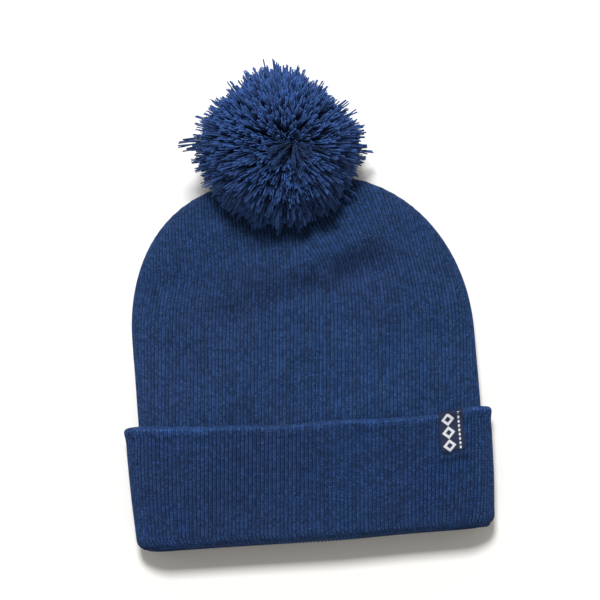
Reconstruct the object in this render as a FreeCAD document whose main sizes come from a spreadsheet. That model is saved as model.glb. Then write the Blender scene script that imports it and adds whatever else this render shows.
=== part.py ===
import FreeCAD, Part
import math
import os
import Sketcher

# Cuffed rib-knit beanie with a yarn pom, lying flat on its back face.
# +Z is up, +Y runs from the head opening to the pom and +X is the wearer's left as it lies.
# Every shape is drawn with the hem at y = 0 and then set back by half of the whole length,
# so that the origin is the middle of the footprint, on the surface it lies on.

doc = FreeCAD.newDocument("pom_pom_beanie")
sheet = doc.addObject("Spreadsheet::Sheet", "Sizes")

SIZES = {
    # knitted fabric
    "ply": 2.2,                 # thickness of one knitted layer
    "ply_gap": 0.1,             # air between two layers of the same piece
    "cuff_clearance": 0.3,      # air between the body and the turned-up cuff
    # body, lying flat
    "body_width": 200,
    "body_thickness": 20,
    "hat_height": 216,          # hem to crown tip
    "crown_height": 97,         # the part of that height where the outline closes
    "crown_roundness": 2.1,     # exponent of the closing curve
    "tip_half_width": 16,
    "tip_half_height": 5.6,
    "sag_length": 50,           # stretch in which the body settles from cuff to surface
    # lining
    "lining_side_room": 3.2,    # space for the crown seams at the sides
    "lining_face_room": 1.5,    # the same above and below
    "lining_tip_room": 13,      # space for the knot in the tip
    # cuff
    "cuff_height": 69,
    "cuff_edge_round": 1.9,
    "hem_fold_depth": 4.7,
    "hem_gap": 0.3,             # between the fold and the lower edge of the body
    # crown seams
    "seam_width": 3.0,
    "seam_thickness": 1.1,
    "seam_lean": 18,            # degrees, front and back seams from the middle line
    "seam_crossing": 0.8,       # part of the crown height where they cross that line
    "seam_shift": 9,            # sideways step from a shell seam to the lining's own
    # tie and pom
    "tie_radius": 1.6,
    "tie_hole_clearance": 0.3,
    "knot_radius": 3.4,
    "tie_loop_radius": 1.7,
    "tie_loop_thread": 0.9,
    "tie_gap": 3.2,             # crown tip to the pivot of the pom
    "tie_gap_clearance": 0.3,   # between the tie's own lengths
    "pom_radius": 44,
    "pom_forward": 9.5,         # pivot to pom centre, along the hat
    "pom_rise": 20,             # pivot to pom centre, upwards
    "pom_seat_gap": 8,          # pivot to the point of the pom's seat
    "pom_seat_slope": 18,       # degrees
    "heel_clearance": 3,        # from the crown to the heel when the pom points straight out
    "heel_drop": 9,             # how far the heel reaches back past the pivot
    "heel_width": 60,
    "binding_radius": 6,
    "binding_thread": 1.3,
    # side label
    "label_width": 14,
    "label_height": 25.5,
    "label_thickness": 0.8,
    "label_centre": 81,         # from the middle line
    "stitch_radius": 0.35,
    "stitch_sink": 0.15,
    "stitch_inset": 1.6,
    # gather stitches
    "gather_radius": 3.6,
    "gather_thread": 0.6,
}
for row, (alias, number) in enumerate(SIZES.items(), start=1):
    sheet.set(f"A{row}", alias)
    sheet.set(f"B{row}", str(number))
    sheet.setAlias(f"B{row}", alias)
doc.recompute()

X_AXIS, Y_AXIS, ORIGIN_POINT = -1, -2, 1
TURN_UP = FreeCAD.Rotation(FreeCAD.Vector(1, 0, 0), 90)     # a drawing in XZ, facing the hem
ALONG_Y = FreeCAD.Rotation(FreeCAD.Vector(1, 0, 0), -90)    # a primitive's axis laid along +Y

# Shared expressions, each written once.
S = {name: f"Sizes.{name}" for name in SIZES}
BODY_HALF_WIDTH = f"({S['body_width']} / 2)"
BODY_HALF_HEIGHT = f"({S['body_thickness']} / 2)"
CUFF_WALL = f"(2 * {S['ply']} + {S['ply_gap']} + {S['cuff_clearance']})"
CUFF_MIDDLE = f"({BODY_HALF_HEIGHT} + {CUFF_WALL})"         # height of the cuff's own middle
SHELL_WALL = S["ply"]
LINING_OUTSIDE = f"({S['ply']} + {S['ply_gap']})"
LINING_INSIDE = f"(2 * {S['ply']} + {S['ply_gap']})"
BODY_START = f"({S['hem_fold_depth']} + {S['hem_gap']})"
CROWN_START = f"({S['hat_height']} - {S['crown_height']})"
PIVOT_Y = f"({S['hat_height']} + {S['tie_gap']})"
PIVOT_Z = BODY_HALF_HEIGHT
POM_LEAN = f"atan({S['pom_rise']} / {S['pom_forward']})"
HEM_Y = f"(-({PIVOT_Y} + {S['pom_forward']} + {S['pom_radius']}) / 2)"

sub_parts = []


def keep(thing, label):
    """One finished sub-part: its label names the file and its placement centres the hat."""
    thing.Label = label
    thing.setExpression("Placement.Base.y", HEM_Y)
    sub_parts.append(thing)
    return thing


def part(kind, name, sizes=(), at=(), turn=None):
    """A Part primitive or boolean whose sizes and place are bound to the sheet."""
    thing = doc.addObject(f"Part::{kind}", name)
    if turn is not None:
        thing.Placement = FreeCAD.Placement(FreeCAD.Vector(), turn)
    for prop, expression in dict(sizes).items():
        thing.setExpression(prop, str(expression))
    for axis, expression in dict(at).items():
        thing.setExpression(f"Placement.Base.{axis}", str(expression))
    return thing


def cut(name, base, tool):
    thing = doc.addObject("Part::Cut", name)
    thing.Base = base
    thing.Tool = tool
    return thing


def join(kind, name, first, second):
    thing = doc.addObject(f"Part::{kind}", name)
    thing.Base = first
    thing.Tool = second
    return thing


def rename(sketch, index, name, expression):
    sketch.renameConstraint(index, name)
    sketch.setExpression(f"Constraints.{name}", expression)


def draw_slot(sketch, prefix, half_width, half_height):
    """A stadium outline centred on the sketch's origin, fully constrained."""
    first = sketch.GeometryCount
    right, top, left, bottom = first, first + 1, first + 2, first + 3
    vector = FreeCAD.Vector
    reach, radius = 60, 6
    quarter = math.pi / 2
    sketch.addGeometry([
        Part.ArcOfCircle(Part.Circle(vector(reach, 0), vector(0, 0, 1), radius),
                         -quarter, quarter),
        Part.LineSegment(vector(reach, radius), vector(-reach, radius)),
        Part.ArcOfCircle(Part.Circle(vector(-reach, 0), vector(0, 0, 1), radius),
                         quarter, 3 * quarter),
        Part.LineSegment(vector(-reach, -radius), vector(reach, -radius)),
    ], False)
    rule = Sketcher.Constraint
    sketch.addConstraint([
        rule("Coincident", right, 2, top, 1),
        rule("Coincident", top, 2, left, 1),
        rule("Coincident", left, 2, bottom, 1),
        rule("Coincident", bottom, 2, right, 1),
        rule("PointOnObject", right, 3, X_AXIS),
        rule("Symmetric", right, 3, left, 3, X_AXIS, ORIGIN_POINT),
        rule("Equal", right, left),
        rule("Vertical", right, 3, right, 1),
        rule("Vertical", right, 3, right, 2),
        rule("Vertical", left, 3, left, 1),
        rule("Vertical", left, 3, left, 2),
    ])
    rename(sketch, sketch.addConstraint(rule("Radius", right, radius)),
           f"{prefix}_half_height", half_height)
    rename(sketch, sketch.addConstraint(rule("DistanceX", -1, 1, right, 3, reach)),
           f"{prefix}_reach", f"{half_width} - ({half_height})")


def section(name, half_width, half_height, distance, height, sideways="0"):
    """A stadium drawn across the hat, at a distance from the hem."""
    sketch = doc.addObject("Sketcher::SketchObject", name)
    draw_slot(sketch, "slot", half_width, half_height)
    sketch.Placement = FreeCAD.Placement(FreeCAD.Vector(), TURN_UP)
    sketch.setExpression("Placement.Base.x", sideways)
    sketch.setExpression("Placement.Base.y", distance)
    sketch.setExpression("Placement.Base.z", height)
    return sketch


def middle_height(distance):
    """Height of the fabric tube's middle: level in the cuff, then down to the surface."""
    share = f"(min(max(({distance} - {S['cuff_height']} - {S['hem_fold_depth']}) / "
    share += f"{S['sag_length']}, 0), 1))"
    fall = f"({CUFF_MIDDLE} - {BODY_HALF_HEIGHT})"
    return f"({CUFF_MIDDLE} - {fall} * {share} ^ 2 * (3 - 2 * {share}))"


def crown_half_width(share, inset):
    tip = f"({S['tip_half_width']} - {inset})"
    side = f"({BODY_HALF_WIDTH} - {inset})"
    power = S["crown_roundness"]
    return f"({tip} + ({side} - {tip}) * (1 - {share} ^ {power}) ^ (1 / {power}))"


BELOW_CROWN = 5                                             # sections from cuff to crown
CROWN_SHARES = (0, 0.12, 0.24, 0.36, 0.48, 0.6, 0.7, 0.79, 0.86, 0.92, 0.96, 0.985, 1)
EDGE_FLATNESS = 10                                          # how late the crown thins out


def fabric_tube(name, inset, side_room="0", face_room="0", tip_room="0", hem_cut="0"):
    """The closed solid inside one surface of the body: straight, sagging, then crown."""
    half_width = f"({BODY_HALF_WIDTH} - {inset})"
    half_height = f"({BODY_HALF_HEIGHT} - {inset})"
    sections = [section(f"{name}_hem", half_width, half_height,
                        f"{BODY_START} - {hem_cut}", CUFF_MIDDLE)]
    cuff_top = f"({S['cuff_height']} + {S['hem_fold_depth']})"
    for step in range(BELOW_CROWN):
        distance = f"({cuff_top} + ({CROWN_START} - {cuff_top}) * {step} / {BELOW_CROWN})"
        sections.append(section(f"{name}_wall{step}", half_width, half_height,
                                distance, middle_height(distance)))
    length = f"({S['crown_height']} - {inset} - {tip_room})"
    for step, share in enumerate(CROWN_SHARES):
        distance = f"({CROWN_START} + {share} * {length})"
        ease = f"min({share} / 0.24, 1)"                    # the room opens over the first rows
        width = f"({crown_half_width(share, inset)} - {side_room} * {ease})"
        tip = f"({S['tip_half_height']} - {inset} * 0.5)"
        height = f"({tip} + ({half_height} - {tip}) * (1 - {share} ^ {EDGE_FLATNESS}) ^ 0.5"
        height += f" - {face_room} * {ease})"
        sections.append(section(f"{name}_crown{step}", width, height,
                                distance, middle_height(distance)))
    loft = doc.addObject("Part::Loft", name)
    loft.Sections = sections
    loft.Solid = True
    loft.Ruled = True
    return loft


# ---- body and lining -------------------------------------------------------------------
OPEN_END = "1"                                              # a hollow runs on past the hem
shell_outside = fabric_tube("shell_outside", "0")
shell_inside = fabric_tube("shell_inside", SHELL_WALL, hem_cut=OPEN_END)
shell_wall = cut("shell_wall", shell_outside, shell_inside)
tie_hole = part("Cylinder", "tie_hole",
                {"Radius": f"{S['tie_radius']} + {S['tie_hole_clearance']}",
                 "Height": f"3 * {S['ply']}"},
                {"y": f"{S['hat_height']} - 2 * {S['ply']}", "z": PIVOT_Z}, ALONG_Y)
keep(cut("outer_body", shell_wall, tie_hole), "outer_body_knit")

lining_outside = fabric_tube("lining_outside", LINING_OUTSIDE, S["lining_side_room"],
                             S["lining_face_room"], S["lining_tip_room"])
lining_inside = fabric_tube("lining_inside", LINING_INSIDE, S["lining_side_room"],
                            S["lining_face_room"], S["lining_tip_room"], OPEN_END)
keep(cut("lining", lining_outside, lining_inside), "inner_lining_knit")


# ---- crown seams: folded dart edges in the room between shell and lining ------------------
def crown_seam(label, sideways, lift, half_width, half_height, shares):
    """A strip that follows the crown; sideways gives its place at each crown share."""
    sections = []
    length = f"({S['crown_height']} - {SHELL_WALL})"
    for step, share in enumerate(shares):
        distance = f"({CROWN_START} + {share} * {length})"
        height = f"({middle_height(distance)} + {lift})"
        sections.append(section(f"{label}_{step}", half_width, half_height, distance,
                                height, sideways(share)))
    loft = doc.addObject("Part::Loft", f"{label}_loft")
    loft.Sections = sections
    loft.Solid = True
    loft.Ruled = True
    strip = doc.addObject("Part::Refine", f"{label}_strip")
    strip.Source = loft
    return keep(strip, label)


FACE_SHARES = CROWN_SHARES[3:7]                             # up the front and the back
SIDE_SHARES = CROWN_SHARES[3:8]                             # round the two edges
STRIP_HALF_HEIGHT = f"({S['seam_thickness']} / 2)"
FACE_LIFT = f"({BODY_HALF_HEIGHT} - {SHELL_WALL} - {STRIP_HALF_HEIGHT} - {S['ply_gap']})"


def face_seam_line(side, step_aside):
    """Sideways place of a seam that leans towards the tip."""
    def sideways(share):
        run = f"({S['seam_crossing']} - {share}) * {S['crown_height']} * tan({S['seam_lean']})"
        return f"({side} * ({run} + {step_aside}))"
    return sideways


def edge_seam_line(side, inset):
    def sideways(share):
        return f"({side} * ({crown_half_width(share, SHELL_WALL)} - {inset}))"
    return sideways


for face, side in (("front", 1), ("back", -1)):
    for layer, aside in (("crown", "0"), ("lining", f"-{S['seam_shift']}")):
        crown_seam(f"{layer}_seam_{face}", face_seam_line(side, f"({aside})"),
                   f"({side} * {FACE_LIFT})", f"({S['seam_width']} / 2)",
                   STRIP_HALF_HEIGHT, FACE_SHARES)
EDGE_INSET = f"({S['lining_side_room']} / 2)"
EDGE_HALF_WIDTH = f"({STRIP_HALF_HEIGHT} + {S['ply_gap']})"
for hand, side in (("left", -1), ("right", 1)):
    for layer, up in (("crown", 1), ("lining", -1)):
        crown_seam(f"{layer}_seam_{hand}", edge_seam_line(side, EDGE_INSET),
                   f"({up} * {S['seam_width']} / 2)", EDGE_HALF_WIDTH,
                   STRIP_HALF_HEIGHT, SIDE_SHARES)


# ---- cuff: two layers turned up round the body, and the fold at the hem -------------------
def sleeve(label, outer_wall, inner_wall, start, length, edge_round=None):
    """A closed band round the body. The walls are measured outwards from the body."""
    body = doc.addObject("PartDesign::Body", f"{label}_body")
    plane = next(f for f in body.Origin.OriginFeatures if f.Role == "XZ_Plane")
    sketch = body.newObject("Sketcher::SketchObject", f"{label}_outline")
    sketch.AttachmentSupport = [(plane, "")]
    sketch.MapMode = "FlatFace"
    for prefix, wall in (("outer", outer_wall), ("inner", inner_wall)):
        draw_slot(sketch, prefix, f"({BODY_HALF_WIDTH} + {wall})",
                  f"({BODY_HALF_HEIGHT} + {wall})")
    sketch.setExpression("AttachmentOffset.Base.y", CUFF_MIDDLE)
    sketch.setExpression("AttachmentOffset.Base.z", f"-({start})")
    pad = body.newObject("PartDesign::Pad", f"{label}_band")
    pad.Profile = sketch
    pad.Reversed = True
    pad.setExpression("Length", length)
    doc.recompute()
    if edge_round:
        reach = pad.Shape.BoundBox.XMax - SIZES["ply"] / 2
        outer_edges = []
        for number, edge in enumerate(pad.Shape.Edges, start=1):
            level = edge.BoundBox.YLength < 0.01
            widest = max(abs(edge.BoundBox.XMax), abs(edge.BoundBox.XMin))
            tallest = edge.BoundBox.ZMax > pad.Shape.BoundBox.ZMax - 0.01
            lowest = edge.BoundBox.ZMin < pad.Shape.BoundBox.ZMin + 0.01
            if level and (widest > reach or tallest or lowest):
                outer_edges.append(f"Edge{number}")
        fillet = body.newObject("PartDesign::Fillet", f"{label}_round")
        fillet.Base = (pad, outer_edges)
        fillet.setExpression("Radius", edge_round)
    return keep(body, label)


BACKING_INSIDE = S["cuff_clearance"]
BACKING_OUTSIDE = f"({S['cuff_clearance']} + {S['ply']})"
FACE_INSIDE = f"({S['cuff_clearance']} + {S['ply']} + {S['ply_gap']})"
FACE_OUTSIDE = CUFF_WALL
sleeve("cuff_face_knit", FACE_OUTSIDE, FACE_INSIDE, "0", S["cuff_height"],
       S["cuff_edge_round"])
sleeve("cuff_backing_knit", BACKING_OUTSIDE, BACKING_INSIDE,
       f"({S['hem_fold_depth']} + {S['ply_gap']})",
       f"{S['cuff_height']} - {S['hem_fold_depth']} - 2 * {S['ply_gap']}")
sleeve("hem_fold_knit", BACKING_OUTSIDE, f"(-{LINING_INSIDE})", "0", S["hem_fold_depth"])


# ---- side label, folded over the top edge of the cuff --------------------------------------
def side_label():
    body = doc.addObject("PartDesign::Body", "side_label_body")
    plane = next(f for f in body.Origin.OriginFeatures if f.Role == "YZ_Plane")
    sketch = body.newObject("Sketcher::SketchObject", "side_label_profile")
    sketch.AttachmentSupport = [(plane, "")]
    sketch.MapMode = "FlatFace"
    sketch.setExpression("AttachmentOffset.Base.x", S["cuff_height"])
    sketch.setExpression("AttachmentOffset.Base.y", f"2 * {CUFF_MIDDLE}")
    sketch.setExpression("AttachmentOffset.Base.z",
                         f"{S['label_centre']} - {S['label_width']} / 2")
    corners = [(-20, 0), (-20, 1), (1, 1), (1, -4), (0, -4), (0, 0)]
    for start, end in zip(corners, corners[1:] + corners[:1]):
        sketch.addGeometry(Part.LineSegment(FreeCAD.Vector(*start, 0),
                                            FreeCAD.Vector(*end, 0)), False)
    rule = Sketcher.Constraint
    for line in range(len(corners)):
        sketch.addConstraint(rule("Coincident", line, 2, (line + 1) % len(corners), 1))
        sketch.addConstraint(rule("Vertical" if line % 2 == 0 else "Horizontal", line))
    sketch.addConstraint(rule("Coincident", 5, 1, -1, 1))
    rename(sketch, sketch.addConstraint(rule("DistanceX", 0, 1, -1, 1, 20)),
           "panel", S["label_height"])
    rename(sketch, sketch.addConstraint(rule("DistanceY", 0, 1, 0, 2, 1)),
           "panel_thickness", S["label_thickness"])
    rename(sketch, sketch.addConstraint(rule("DistanceX", -1, 1, 2, 1, 1)),
           "lip_thickness", S["label_thickness"])
    rename(sketch, sketch.addConstraint(rule("DistanceY", 4, 1, -1, 1, 4)),
           "lip", f"{CUFF_WALL} - {S['cuff_clearance']}")
    pad = body.newObject("PartDesign::Pad", "side_label_strip")
    pad.Profile = sketch
    pad.setExpression("Length", S["label_width"])
    return keep(body, "side_label")


side_label()

STITCHES_PER_ROW = 4


def label_stitches():
    """Two rows of short thread bars that hold the label, pressed into its face."""
    pitch = f"({S['label_width']} - {S['stitch_inset']}) / {STITCHES_PER_ROW}"
    bars = []
    for row_name, distance in (
            ("upper", f"({S['cuff_height']} - {S['stitch_inset']})"),
            ("lower", f"({S['cuff_height']} - {S['label_height']} + {S['stitch_inset']})")):
        for step in range(STITCHES_PER_ROW):
            middle = f"({S['label_centre']} + ({step} - {(STITCHES_PER_ROW - 1) / 2}) * {pitch})"
            bars.append(part(
                "Cylinder", f"stitch_{row_name}{step}",
                {"Radius": S["stitch_radius"], "Height": f"0.7 * {pitch}"},
                {"x": f"{middle} - 0.35 * {pitch}", "y": distance,
                 "z": f"2 * {CUFF_MIDDLE} + {S['label_thickness']} + {S['stitch_radius']}"
                      f" - {S['stitch_sink']}"},
                FreeCAD.Rotation(FreeCAD.Vector(0, 1, 0), 90)))
    group = doc.addObject("Part::Compound", "label_stitch_rows")
    group.Links = bars
    return keep(group, "side_label_stitches")


label_stitches()

# ---- tip of the crown: gather stitches, knot and tie ---------------------------------------
SHELL_TIP_INSIDE = f"({S['hat_height']} - {S['ply']})"
GATHER_RING = {"Radius1": S["gather_radius"], "Radius2": S["gather_thread"]}
GATHER_SEAT = f"({S['gather_thread']} + {S['ply_gap']})"


def placed_on_axis(thing, label, distance):
    """A piece on the hat's middle line at a distance from the hem."""
    thing.Label = label
    thing.setExpression("Placement.Base.y", f"{HEM_Y} + {distance}")
    sub_parts.append(thing)
    return thing


crown_gather = part("Torus", "crown_gather", GATHER_RING, {"z": PIVOT_Z}, ALONG_Y)
placed_on_axis(crown_gather, "crown_gather_stitch", f"{SHELL_TIP_INSIDE} - {GATHER_SEAT}")
LINING_TIP = f"({S['hat_height']} - {LINING_OUTSIDE} - {S['lining_tip_room']})"
lining_gather = part("Torus", "lining_gather", GATHER_RING, {"z": PIVOT_Z}, ALONG_Y)
placed_on_axis(lining_gather, "lining_gather_stitch", f"{LINING_TIP} + {GATHER_SEAT}")

KNOT_Y = f"({SHELL_TIP_INSIDE} - 2 * {GATHER_SEAT} - {S['knot_radius']})"
knot_ball = part("Sphere", "knot_ball", {"Radius": S["knot_radius"]},
                 {"y": KNOT_Y, "z": PIVOT_Z})
LOOP_OUTSIDE = f"({S['tie_loop_radius']} + {S['tie_loop_thread']})"
TAIL_END = f"({PIVOT_Y} - {LOOP_OUTSIDE} - {S['tie_gap_clearance']})"
tie_tail = part("Cylinder", "tie_tail",
                {"Radius": S["tie_radius"], "Height": f"{TAIL_END} - {KNOT_Y}"},
                {"y": KNOT_Y, "z": PIVOT_Z}, ALONG_Y)
keep(join("Fuse", "tie_knot", knot_ball, tie_tail), "pom_tie_knot")

LOOP_AXIS = FreeCAD.Rotation(FreeCAD.Vector(0, 1, 0), 90)
tie_loop = part("Torus", "tie_loop",
                {"Radius1": S["tie_loop_radius"], "Radius2": S["tie_loop_thread"]},
                {"z": PIVOT_Z}, LOOP_AXIS)
placed_on_axis(tie_loop, "pom_tie_loop", PIVOT_Y)


# ---- pom: yarn ball with a seat for the crown, its binding and the tie inside ---------------
def leaning(thing, along="0", across="0", sideways="0"):
    """Sets a piece on the tie axis: along it from the pivot, and across it, downwards."""
    turn = f"({POM_LEAN} - 90 deg)"
    thing.Placement = FreeCAD.Placement(FreeCAD.Vector(), FreeCAD.Vector(1, 0, 0), 1)
    thing.setExpression("Placement.Rotation.Angle", turn)
    thing.setExpression("Placement.Base.x", sideways)
    thing.setExpression("Placement.Base.y",
                        f"{PIVOT_Y} + {along} * cos({POM_LEAN}) + {across} * sin({POM_LEAN})")
    thing.setExpression("Placement.Base.z",
                        f"{PIVOT_Z} + {along} * sin({POM_LEAN}) - {across} * cos({POM_LEAN})")
    return thing


REACH = f"(({S['pom_forward']} ^ 2 + {S['pom_rise']} ^ 2) ^ 0.5)"
POM_SPAN = f"(2 * {S['pom_radius']} + {REACH})"
ball = part("Sphere", "yarn_ball", {"Radius": S["pom_radius"]},
            {"y": f"{PIVOT_Y} + {S['pom_forward']}", "z": f"{PIVOT_Z} + {S['pom_rise']}"})
seat_cone = leaning(part("Cone", "seat_cone", {
    "Radius1": "0",
    "Radius2": f"{POM_SPAN} / tan({S['pom_seat_slope']})",
    "Height": POM_SPAN}), along=S["pom_seat_gap"])
heel = leaning(part("Box", "heel_block", {
    "Length": S["heel_width"], "Width": POM_SPAN, "Height": POM_SPAN}),
    along=f"(-{S['heel_drop']})", across=f"({BODY_HALF_HEIGHT} + {S['heel_clearance']})",
    sideways=f"-{S['heel_width']} / 2")
above_surface = part("Box", "above_surface", {
    "Length": f"4 * {S['pom_radius']}", "Width": f"4 * {S['pom_radius']}",
    "Height": POM_SPAN},
    {"x": f"-2 * {S['pom_radius']}", "y": f"{PIVOT_Y} - 2 * {S['pom_radius']}"})
allowed = join("Fuse", "pom_room", seat_cone, heel)
ball_on_surface = join("Common", "ball_on_surface", ball, above_surface)
ball_seated = join("Common", "ball_seated", ball_on_surface, allowed)
NECK_START = f"({LOOP_OUTSIDE} + {S['tie_gap_clearance']})"
NECK_END = f"({REACH} - {S['binding_radius']} + {S['binding_thread']})"
neck_bore = leaning(part("Cylinder", "neck_bore", {
    "Radius": f"{S['tie_radius']} + {S['ply_gap']}", "Height": NECK_END}))
keep(cut("pom_ball", ball_seated, neck_bore), "pom_yarn")
neck = leaning(part("Cylinder", "neck", {
    "Radius": S["tie_radius"],
    "Height": f"{NECK_END} - {S['ply_gap']} - {NECK_START}"}), along=NECK_START)
neck_group = doc.addObject("Part::Refine", "neck_piece")
neck_group.Source = neck
keep(neck_group, "pom_tie_neck")

binding = part("Torus", "binding",
               {"Radius1": S["binding_radius"], "Radius2": S["binding_thread"]},
               {"z": f"{PIVOT_Z} + {S['pom_rise']}"}, LOOP_AXIS)
placed_on_axis(binding, "pom_binding_loop", f"{PIVOT_Y} + {S['pom_forward']}")

# ---- check and write ------------------------------------------------------------------------
doc.recompute()
for thing in doc.Objects:
    if "Invalid" in thing.State or "Error" in thing.State:
        raise RuntimeError(f"{thing.Name} did not compute: {thing.State}")
os.makedirs("parts", exist_ok=True)
for thing in sub_parts:
    if thing.Shape.isNull() or not thing.Shape.isValid():
        raise RuntimeError(f"{thing.Label} has no valid shape")
for thing in sub_parts:
    thing.Shape.exportStep(os.path.join("parts", f"{thing.Label}.step"))
    size = thing.Shape.BoundBox
    print(f"{thing.Label}: {thing.Shape.Volume:.0f} mm3,"
          f" x {size.XMin:.1f}..{size.XMax:.1f}, y {size.YMin:.1f}..{size.YMax:.1f},"
          f" z {size.ZMin:.1f}..{size.ZMax:.1f}")
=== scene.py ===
import math
import bpy
import numpy as np
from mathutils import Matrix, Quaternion, Vector


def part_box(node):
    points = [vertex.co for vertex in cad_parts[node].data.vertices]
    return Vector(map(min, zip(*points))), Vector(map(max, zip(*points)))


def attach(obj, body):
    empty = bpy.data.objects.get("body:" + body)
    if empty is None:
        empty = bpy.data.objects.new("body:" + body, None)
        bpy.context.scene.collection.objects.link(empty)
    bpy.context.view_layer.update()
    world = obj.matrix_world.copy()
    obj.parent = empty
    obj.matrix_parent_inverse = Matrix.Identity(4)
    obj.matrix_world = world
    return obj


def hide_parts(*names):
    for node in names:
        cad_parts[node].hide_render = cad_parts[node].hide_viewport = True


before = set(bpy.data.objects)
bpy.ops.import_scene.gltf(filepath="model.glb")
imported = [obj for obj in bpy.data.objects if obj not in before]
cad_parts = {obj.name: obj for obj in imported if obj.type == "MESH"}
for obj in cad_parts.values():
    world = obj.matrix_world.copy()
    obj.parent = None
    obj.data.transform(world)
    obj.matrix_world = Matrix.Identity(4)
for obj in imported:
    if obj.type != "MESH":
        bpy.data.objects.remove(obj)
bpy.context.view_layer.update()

# lengths in the dictionaries are millimetres, and mm turns them into metres
mm = 0.001
tiny = 1e-9
shortest = 0.0001

bodyLow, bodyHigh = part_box("outer_body_knit")
cuffLow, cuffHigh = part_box("cuff_face_knit")
labelLow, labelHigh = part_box("side_label")
bindLow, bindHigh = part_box("pom_binding_loop")

hat = {
    "hemY": cuffLow[1] / mm,          # lower edge of the cuff
    "halfWidth": (bodyHigh[0] - bodyLow[0]) / 2 / mm,
    "height": (bodyHigh[1] - cuffLow[1]) / mm,    # hem to crown tip
    "crown": 97,                      # the part of it that closes
    "roundness": (2.05, 2.38),        # right and left shoulder
    "shoulderSwell": (0.5, 118, 30),  # size, height above the hem and spread
    "leftTrim": [(1.9, 66, 26), (1.2, 105, 26)],  # the same, where the left side lies further in
    "tipHalfWidth": 15,
    "tipHalfHeight": 5.0,
    "halfThick": 10,
    "flatness": 8,                    # how long it keeps its thickness
    "closing": 15.0,                  # gathered end, beyond the tip
    "endHalfWidth": 0.001,            # of the last ring, which is welded to a point
    "endHalfHeight": 0.0005,
    "endRise": 1.6,                   # how far the gathered end stands out
    "cuffMiddle": cuffHigh[2] / 2 / mm,
    "sagFrom": 72,                    # where the body comes down from the cuff
    "sagTo": 126,
    "ribs": 200,                      # all the way round
    "ribsRight": 45,                  # front dart to right fold
    "twist": 0.068,                   # how far the ribs drift sideways as they rise
}
pathEnd = hat["height"] + hat["closing"]


def smooth(x, low, high):
    t = np.clip((x - low) / (high - low), 0, 1)
    return t * t * (3 - 2 * t)


def gauss(x, width):
    return np.exp(-(x / width) ** 2)


def unit(vectors):
    return vectors / np.maximum(np.linalg.norm(vectors, axis=-1, keepdims=True), tiny)


def deselectAll():
    if bpy.context.object and bpy.context.object.mode != "OBJECT":
        bpy.ops.object.mode_set(mode="OBJECT")
    bpy.ops.object.select_all(action="DESELECT")


def setActive(piece):
    deselectAll()
    piece.select_set(True)
    bpy.context.view_layer.objects.active = piece


def readPoints(mesh):
    points = np.empty(len(mesh.vertices) * 3)
    mesh.vertices.foreach_get("co", points)
    return points.reshape(-1, 3)


def writeUv(mesh, uvOfPoint):
    corners = np.empty(len(mesh.loops), dtype=np.int32)
    mesh.loops.foreach_get("vertex_index", corners)
    mesh.uv_layers[0].data.foreach_set("uv", uvOfPoint[corners].ravel())


def weld(piece, gap=0.004 * mm):
    setActive(piece)
    bpy.ops.object.mode_set(mode="EDIT")
    bpy.ops.mesh.select_all(action="SELECT")
    bpy.ops.mesh.remove_doubles(threshold=gap)
    bpy.ops.mesh.dissolve_degenerate(threshold=gap)
    bpy.ops.object.mode_set(mode="OBJECT")
    bpy.ops.object.shade_smooth()


def fabricGrid(name, across, along, place):
    # a flat grid laid into place: its x runs round the piece and its y along the fabric
    deselectAll()
    bpy.ops.mesh.primitive_grid_add(x_subdivisions=across, y_subdivisions=along, size=1,
                                    location=(0, 0, 0), calc_uvs=True)
    piece = bpy.context.object
    piece.name = name
    piece.data.name = name
    flat = readPoints(piece.data) + 0.5
    points, uv = place(np.rint(flat[:, 0] * across) / across, flat[:, 1])
    piece.data.vertices.foreach_set("co", (points * mm).ravel())
    writeUv(piece.data, uv)
    piece.data.update()
    return piece


def bulge(d, size, place, spread):
    return size * gauss(d - place, spread)


# the hat's outline, and its thickness as it lies flat
def halfWidthAt(d, left):
    t = np.clip((d - (hat["height"] - hat["crown"])) / hat["crown"], 0, 1)
    p = np.where(left, hat["roundness"][1], hat["roundness"][0])
    w = hat["tipHalfWidth"] + (hat["halfWidth"] - hat["tipHalfWidth"]) * (1 - t ** p) ** (1 / p)
    trim = sum(bulge(d, *part) for part in hat["leftTrim"])
    return w + bulge(d, *hat["shoulderSwell"]) - left * trim


def halfHeightAt(d):
    t = np.clip((d - (hat["height"] - hat["crown"])) / hat["crown"], 0, 1)
    gain = hat["halfThick"] - hat["tipHalfHeight"]
    return hat["tipHalfHeight"] + gain * np.sqrt(1 - t ** hat["flatness"])


def middleAt(d):
    fall = hat["cuffMiddle"] - hat["halfThick"]
    return hat["cuffMiddle"] - fall * smooth(d, hat["sagFrom"], hat["sagTo"])


def profile(a, left):
    # beyond the tip the path runs inwards over the gathered end, to one point
    d = np.minimum(a, hat["height"])
    t = np.clip((a - hat["height"]) / hat["closing"], 0, 1)
    w = halfWidthAt(d, left) * (1 - t) + hat["endHalfWidth"]
    h = halfHeightAt(d) * (1 - t) + hat["endHalfHeight"]
    return d + hat["endRise"] * np.sin(t * math.pi / 2), w, h


def girth(w, h):
    return 4 * (w - h) + 2 * math.pi * h


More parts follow.
